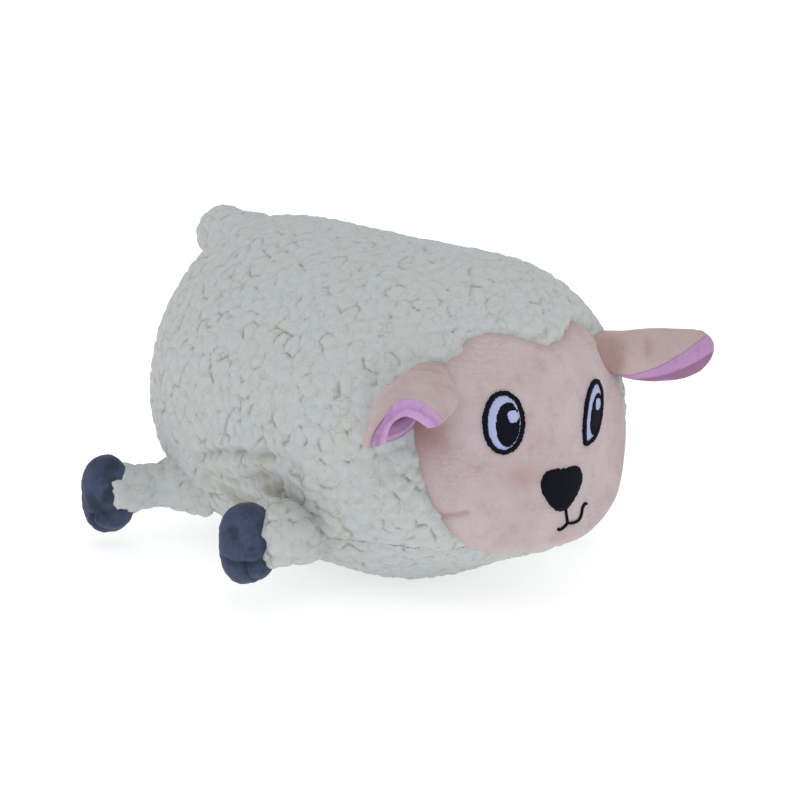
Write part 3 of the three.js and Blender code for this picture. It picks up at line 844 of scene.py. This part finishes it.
def sew_leg(name, side, sweep, lower, seed, *sleeve):
    root = hinge_root(f"{name}_leg_bend")
    axes = limb_axes((side * LEG_REACH, sweep, -lower), (0, 0, 1))
    length = math.hypot(LEG_REACH, sweep)
    sew_sleeve(name, side, root, axes, length, seed, *sleeve)
    sew_hoof(name, side, root, axes, length, seed)
    stuff_limb(f"{name}_leg", root, axes, 17.0, 23.6, 6.2, 6.8)


def sew_sleeve(name, side, root, axes, length, seed, root_rise, end_rise, lap, bow, slant, widths):
    sleeve_end = SLEEVE_END + lap
    x = np.linspace(LIMB_START, sleeve_end + 3.4, 60)
    width_line = smooth_line([(WIDTHS_APART * i, width) for i, width in enumerate(widths)], False, 10)
    girth = np.interp(x, width_line[:, 0], width_line[:, 1])
    girth *= closing(x, sleeve_end - 1.0, 4.6) * opening(x)
    tube = turned_form(x, girth * (0.93 + 0.16 * ease(x, 18, 30)), girth)
    places, squares, normals = even_skin(*tube, LIMB_STEP)
    height, crease = fleece(places, seed)
    height += 0.8 * drift(places, 11.0, seed + 9) * ease(places[:, 0], 2, 12)
    fleecy = places + normals * height[:, None]
    fleecy[:, 2] += root_rise * (1 - ease(places[:, 0], 0, 24)) + end_rise * ease(places[:, 0], 8, 26)
    edge = ease(places[:, 0], sleeve_end - 6, sleeve_end - 1)
    fleecy[:, 0] += edge * (1.5 * drift(places, 3.6, seed + 11) + 0.8 * drift(places, 1.7, seed + 12))
    ahead = -side * fleecy[:, 1]
    fleecy[:, 0] += slant * ahead * ease(places[:, 0], 22, 32)
    lean = np.arctan(bow * (1 - 2 * places[:, 0] / length))
    fleecy[:, 0] -= ahead * np.sin(lean)
    fleecy[:, 1] = -side * (bow * places[:, 0] * (1 - places[:, 0] / length) + ahead * np.cos(lean))
    sewn_piece(f"{name}_leg_fleece", fleecy @ axes + root, squares, SHERPA, [f"{name}_leg_sleeve"],
               f"{name}_leg", {"crease": crease * CREASE_SHADE}, reach_points(root, axes, (5, 17)))


def sew_hoof(name, side, root, axes, length, seed):
    half_length, half_depth, half_height = HOOF_SIZE
    u = np.linspace(-1, 1, 64)
    girth = np.maximum(swell(u, HOOF_BLUNT), 0.02)
    x = length + half_length * np.clip(u, -0.999, 0.999)
    hoof = turned_form(x, half_depth * girth * (1 - 0.2 * ease(-u, -0.1, 0.9)), half_height * girth)
    places, squares, normals = even_skin(*hoof, HOOF_STEP)
    local = places - (length, 0, 0)
    outer = ease(local[:, 0], -2, 4)
    height = 1.2 * drift(places, 12.0, seed + 20) + 0.5 * drift(places, 5.0, seed + 21)
    height += 1.8 * np.exp(-((-side * local[:, 1] - 10) ** 2 + (local[:, 2] + 11) ** 2) / 26)
    shade = np.zeros(len(places))
    wandering = local[:, 1:] + 0.8 * wander(places, 6.0, seed + 22, seed + 23)
    # Each fold is a dent with painted shade along it.
    for fold, half_width, dent in HOOF_FOLDS:
        far = line_distance(wandering, smooth_line(np.array(fold) * (-side, 1), False, 6))
        height -= dent * np.exp(-(far / half_width) ** 2) * outer
        shade = np.maximum(shade, 0.55 * np.exp(-(far / (0.6 * half_width)) ** 2) * outer)
    height += 0.3 * drift(places, 2.2, seed + 25)
    brushed = ease(drift(places, 8.0, seed + 24) + 0.7 * drift(places, 3.0, seed + 26), 0.1, 0.9)
    shade = np.maximum(shade, 0.55 * brushed)
    points = (places + normals * height[:, None]) @ axes + root
    sewn_piece(f"{name}_hoof_plush", points, squares, HOOF_PLUSH, [f"{name}_hoof"],
               f"{name}_leg", {"shade": shade})


TAIL_END = 37.4
TAIL_ROUNDING = 11.0
TAIL_HALF_WIDTH = 12.3


def sew_tail():
    root = hinge_root("tail_wag")
    axes = limb_axes((0, 38, 2), (0, 0, 1))
    x = np.linspace(LIMB_START, TAIL_END, 70)
    girth = TAIL_HALF_WIDTH + 1.4 * (1 - ease(x, 2, 14))
    girth *= closing(x, TAIL_END - TAIL_ROUNDING, TAIL_ROUNDING) * opening(x)
    places, squares, normals = even_skin(*turned_form(x, girth, girth), LIMB_STEP)
    height, crease = fleece(places, 71)
    height += 0.5 * drift(places, 10.0, 75)
    points = (places + normals * height[:, None] + (0, 0, 0.8)) @ axes + root
    sewn_piece("tail_fleece", points, squares, SHERPA, ["tail_cover"], "tail",
               {"crease": crease * CREASE_SHADE}, reach_points(root, axes, (4, 14)))
    stuff_limb("tail", root, axes, 15.0, 17.6, 6.3, 6.3)


# Ears: a leaf of two cloths folded along its length, open underneath. For each ear: which side
# it is on, how far forward and down its tip reaches, the lean of its ridge, how much of the
# front flap the outer cloth covers at the tip, how much the tip is bent and its back flap curled
# under, where a soft fold crosses it, how high its ridge stands, its width at five places, and
# how round its tip is and on which part of a flap the tip reaches furthest.
EARS = {
    "right": (-1, 31.5, 6, 0.5, 1.0, 1.0, 0.2, 8.2, (0.52, 0.84, 1.05, 1.08, 1.0), 7.0, 0.0),
    "left": (1, 6.0, 2, -0.3, 0.08, 0.0, 0.36, 8.6, (0.56, 0.74, 0.92, 0.9, 0.73), 15.0, 0.25),
}
EAR_LENGTH = 50.0
EAR_HALF_WIDTH = 25.0
# The share of its length by which an ear starts inside the body, how far in from its rims it
# is rounded, and how far each flap turns round the ridge, in radians.
EAR_START = -0.22
RIM_ROUND = 1.4
EAR_FOLD = 1.5
# The share of an ear's length that the outer cloth covers, how far its outer side stands over
# the leaf, and how far the seam of the cloths and the lining's inner side lie under it.
EAR_COVER = 0.965
OUTER_RISE = 0.4
CLOTH_SEAM = 2.1
LINING_DEPTH = 4.3


def sew_ear(name, side, forward, droop, lean, tip_cover, bent, fold_place, ridge_height, widths, tip_round,
            tip_middle):
    root = hinge_root(f"{name}_ear_fold")
    outward = math.sqrt(EAR_LENGTH ** 2 - forward ** 2)
    axes = limb_axes((side * outward, -forward, -droop), (0, lean, 1))
    seed = 81 if side < 0 else 91
    bend = reach_points(root, axes, (2, 12))
    width_line = smooth_line([(i, share) for i, share in enumerate(widths)], False, 20)

    def wrap(along, across):
        """How far round a flap reaches: the leaf closes to a funnel at its root."""
        curl = 0.3 * bent * (1 - ease(along, 0.2, 0.8)) * (across < 0)
        funnel = 0.36 - 0.2 * bent * (across > 0)
        return 1 + funnel * (1 - ease(along, 0.0, 0.6)) + curl

    def place(along, across, depth):
        """A place on the folded leaf; across runs from -1 on the back rim to 1 on the front."""
        width = np.interp(np.clip(along, 0, 1) * 4, width_line[:, 0], width_line[:, 1])
        inside_body = np.minimum(along + 0.05 * bent, 0)
        ridge = EAR_HALF_WIDTH * width * (1 + 2.6 * inside_body) / EAR_FOLD
        radius = ridge - depth
        beside = np.minimum(np.abs(across), 1) - tip_middle
        x = along * (EAR_LENGTH - tip_round * beside ** 2 * np.where(beside > 0, 1, 0.5))
        y = radius * np.sin(across * EAR_FOLD)
        z = radius * np.cos(across * EAR_FOLD)
        # Towards a bent tip the round section opens to a peaked one, and the ridge swings.
        share = 0.3 * bent * ease(along, 0.5, 1.0)
        y += share * (radius * np.clip(across, -1, 1) - y)
        z += share * (radius * (1.06 - 1.02 * np.sqrt((across - 0.15) ** 2 + 0.012)) - z)
        y += bent * (0.32 * (z - 0.1 * ridge) * ease(along, 0.3, 1.0) - 30.0 * along ** 2 * (1 - along))
        return np.stack([x, -side * y, ridge_height + 28.0 * inside_body + z - ridge], axis=1)

    def covered(along):
        """The share of the front flap that the outer cloth covers."""
        return 1 - (1 - tip_cover) * np.clip(along, 0, 1) ** 1.3

    def cover_reach(across):
        return EAR_COVER + (1 - EAR_COVER) * ease(-across, 0.0, 0.5)

    def fold(along, across, half_width):
        crossing = ease(across, -0.1, 0.2) * ease(-across, -0.8, -0.4)
        return np.exp(-((along - fold_place + 0.1 * across) / half_width) ** 2) * crossing

    def bare_band(along, across):
        """Distance in mm out past the rim of the outer cloth, where the lining shows."""
        return np.maximum((across - covered(along) * wrap(along, across)) * EAR_HALF_WIDTH,
                          (along - cover_reach(across)) * EAR_LENGTH)

    def leaf(reach_share, front_share, outer_depth, inner_depth, meeting_share, soft, rows=76, columns=92):
        """A closed leaf of cloth with rounded rims: places, faces and how far each place is
        along, across and under the leaf."""
        t, c = np.meshgrid(np.linspace(0, 1, rows), np.linspace(-1, 1, columns), indexing="ij")
        t, c = t.ravel(), c.ravel()
        length_share = reach_share(c)
        along = EAR_START + t * (length_share - EAR_START)
        back, front = wrap(along, -1), wrap(along, 1) * front_share(along)
        across = -back + (front + back) * (c + 1) / 2
        full = np.ones(len(along))
        beside_rim, before_tip = (1 - np.abs(c)) * EAR_HALF_WIDTH, (length_share - along) * EAR_LENGTH
        for rim, reach in ((beside_rim, RIM_ROUND), (before_tip, soft)):
            full *= np.sqrt(np.clip(1 - (1 - np.clip(rim / reach, 0, 1)) ** 2, 0, 1))
        outer, inner = outer_depth(along, across), inner_depth(along, across)
        meeting = outer + (inner - outer) * meeting_share(along, across)
        flat = np.stack([along * EAR_LENGTH, across * EAR_HALF_WIDTH, along * 0], axis=1)
        wave = 0.9 * drift(flat, 17.0, seed) + 0.3 * drift(flat, 7.0, seed + 1)
        wave += 0.6 * fold(along, across, 0.05)
        top = place(along, across, meeting + (outer - meeting) * full + wave)
        bottom = place(along, across, meeting + (inner - meeting) * full + wave)
        squares = grid_faces(rows, columns)
        number = np.arange(rows * columns).reshape(rows, columns)
        edge = np.concatenate([number[:, 0], number[-1, 1:], number[-2::-1, -1], number[0, -2:0:-1]])
        beside = np.roll(edge, -1)
        count = number.size
        strip = np.stack([edge, beside, beside + count, edge + count], axis=1)
        if side < 0:
            squares, strip = squares[:, ::-1], strip[:, ::-1]
        return (np.concatenate([top, bottom]) @ axes + root,
                np.concatenate([squares, squares[:, ::-1] + count, strip]),
                np.tile(along, 2), np.tile(across, 2), np.repeat([0, 1], count))

    def sew_cloth(part, points, faces, look, shade):
        sewn_piece(f"{name}_ear_{part}_plush", points, faces, look, [f"{name}_ear_{part}"],
                   f"{name}_ear", {"shade": np.clip(shade, 0, 1)}, bend)

    points, faces, along, across, under = leaf(
        cover_reach, covered, lambda a, c: -OUTER_RISE, lambda a, c: CLOTH_SEAM, lambda a, c: 0.8, 1.6)
    # Painted shade on the outer cloth: darker where it goes into the head, along the soft fold and on its
    # under side.
    shade = 0.6 * (1 - ease(along, EAR_START, -0.08)) + 0.3 * fold(along, across, 0.04) + 0.3 * under
    # Painted shade near the root of the right ear, whose tip is bent.
    shade += 0.15 * bent * (1 - ease(along, 0.0, 0.45))
    # On the left ear, a painted shade line at the root beside the face, and a little painted shade over the
    # whole cloth.
    shade += (1 - bent) * (0.5 * (1 - ease(along, 0.0, 0.17)) * ease(across, -0.2, 0.5) + 0.12)
    sew_cloth("outer", points, faces, EAR_PLUSH, shade)

    def band_share(along, across):
        return ease(bare_band(along, across), -1.9, -0.1)

    def lining_depth(along, across):
        roll = bent * (2.8 + 2.6 * ease(-across, 0.1, 0.7))
        return LINING_DEPTH + roll * ease(along, 0.55, 0.95)

    points, faces, along, across, under = leaf(
        lambda c: 1.0, lambda a: 1.0, lambda a, c: CLOTH_SEAM - 0.6 - 1.7 * band_share(a, c), lining_depth,
        lambda a, c: 0.06 + 0.42 * band_share(a, c), 1.6 + 1.8 * bent)
    band = bare_band(along, across)
    rim = np.minimum((wrap(along, across) - np.abs(across)) * EAR_HALF_WIDTH, (1 - along) * EAR_LENGTH)
    # Painted light and shade on the lining: light in a band past the outer cloth's rim, darker beyond it
    # with a painted shade line at the band's edge, a little darker all over on the left ear, and dark inside
    # the funnel.
    light_band = 0.3 + 11.2 * np.clip(along, 0, 1)
    outside = 0.55 * ease(band - light_band, -0.6, 0.8) * ease(rim, 0.5, 1.8)
    outside += 0.3 * np.exp(-((band - light_band) / 0.5) ** 2) + 0.18 * (1 - bent)
    inside = 0.95 * ease(rim, 3.2, 9.0)
    sew_cloth("lining", points, faces, LINING_PLUSH, np.where(under > 0, inside, outside))


def stuff_body(share=0.91):
    skin, faces = body_grid(90, 70)
    centre = np.array([0, 35.0, 70.0])
    lumps = 1 + 0.012 * drift(skin, 24.0, 95)
    stuffing_piece("body", centre + (skin - centre) * share * lumps[:, None], faces, "torso")


sew_body()
sew_face()
sew_eyes()
sew_nose()
sew_mouth()
for leg_name, leg_values in LEGS.items():
    sew_leg(leg_name, *leg_values)
sew_tail()
for ear_name, ear_values in EARS.items():
    sew_ear(ear_name, *ear_values)
stuff_body()


# Floor, light and camera.
ROOM_LIGHT = 0.8


def white_floor(half=4.0, brightness=0.5):
    look, tree = new_look("studio_floor_white")
    paper = node(tree, "BsdfDiffuse", {"Color": paint("#E6E6E6")})
    glow = node(tree, "Emission", {"Color": (1, 1, 1, 1), "Strength": brightness})
    both = node(tree, "AddShader", {0: paper.outputs["BSDF"], 1: glow.outputs["Emission"]})
    node(tree, "OutputMaterial", {"Surface": both.outputs["Shader"]})
    mesh = bpy.data.meshes.new("floor")
    corners = [(-half, -half, 0), (half, -half, 0), (half, half, 0), (-half, half, 0)]
    mesh.from_pydata(corners, [], [(0, 1, 2, 3)])
    mesh.materials.append(look)
    floor = bpy.data.objects.new("floor", mesh)
    floor.location.z = -0.0003
    bpy.context.scene.collection.objects.link(floor)


def soft_light(name, place, size, power):
    lamp = bpy.data.lights.new(name, "AREA")
    lamp.shape = "DISK"
    lamp.size = size
    lamp.energy = power
    holder = bpy.data.objects.new(name, lamp)
    holder.location = place
    holder.rotation_euler = (Vector((0, 0, 0.07)) - Vector(place)).to_track_quat("-Z", "Y").to_euler()
    bpy.context.scene.collection.objects.link(holder)


white_floor()
soft_light("window_light", (-1.0, -1.4, 1.9), 1.6, 8.0)
world = bpy.data.worlds.new("studio")
bpy.context.scene.world = world
world.use_nodes = True
sky = world.node_tree
sky.nodes.clear()
rays = node(sky, "LightPath").outputs
seen_sky = worked_out(sky, "MAXIMUM", rays["Is Camera Ray"], rays["Is Glossy Ray"])
seen_sky = worked_out(sky, "MAXIMUM", seen_sky, rays["Is Transmission Ray"])
room = node(sky, "Background", {"Color": (1, 1, 1, 1), "Strength": ROOM_LIGHT})
backdrop = node(sky, "Background", {"Color": (1, 1, 1, 1), "Strength": 1.0})
sky_mix = node(sky, "MixShader", {"Fac": seen_sky, 1: room.outputs["Background"],
                                  2: backdrop.outputs["Background"]})
node(sky, "OutputWorld", {"Surface": sky_mix.outputs["Shader"]})

lens = bpy.data.cameras.new("camera")
lens.sensor_width = SENSOR
lens.lens = PIXELS_PER_MM * CAMERA_DISTANCE / FRAME_PIXELS * SENSOR
lens.shift_x, lens.shift_y = (shift / FRAME_PIXELS for shift in SHIFT_PIXELS)
lens.clip_start = 0.05
camera = bpy.data.objects.new("camera", lens)
aim = Vector((0, -REST_PLACE, AIM_HEIGHT)) * MM
turn = (Matrix.Rotation(-CAMERA_AROUND, 4, "Z") @ Matrix.Rotation(math.pi / 2 - CAMERA_RAISED, 4, "X")
        @ Matrix.Rotation(CAMERA_TIPPED, 4, "Z"))
camera.matrix_world = Matrix.Translation(aim + turn.col[2].xyz * CAMERA_DISTANCE * MM) @ turn
bpy.context.scene.collection.objects.link(camera)
bpy.context.scene.camera = camera
bpy.context.scene.view_settings.view_transform = "Standard"
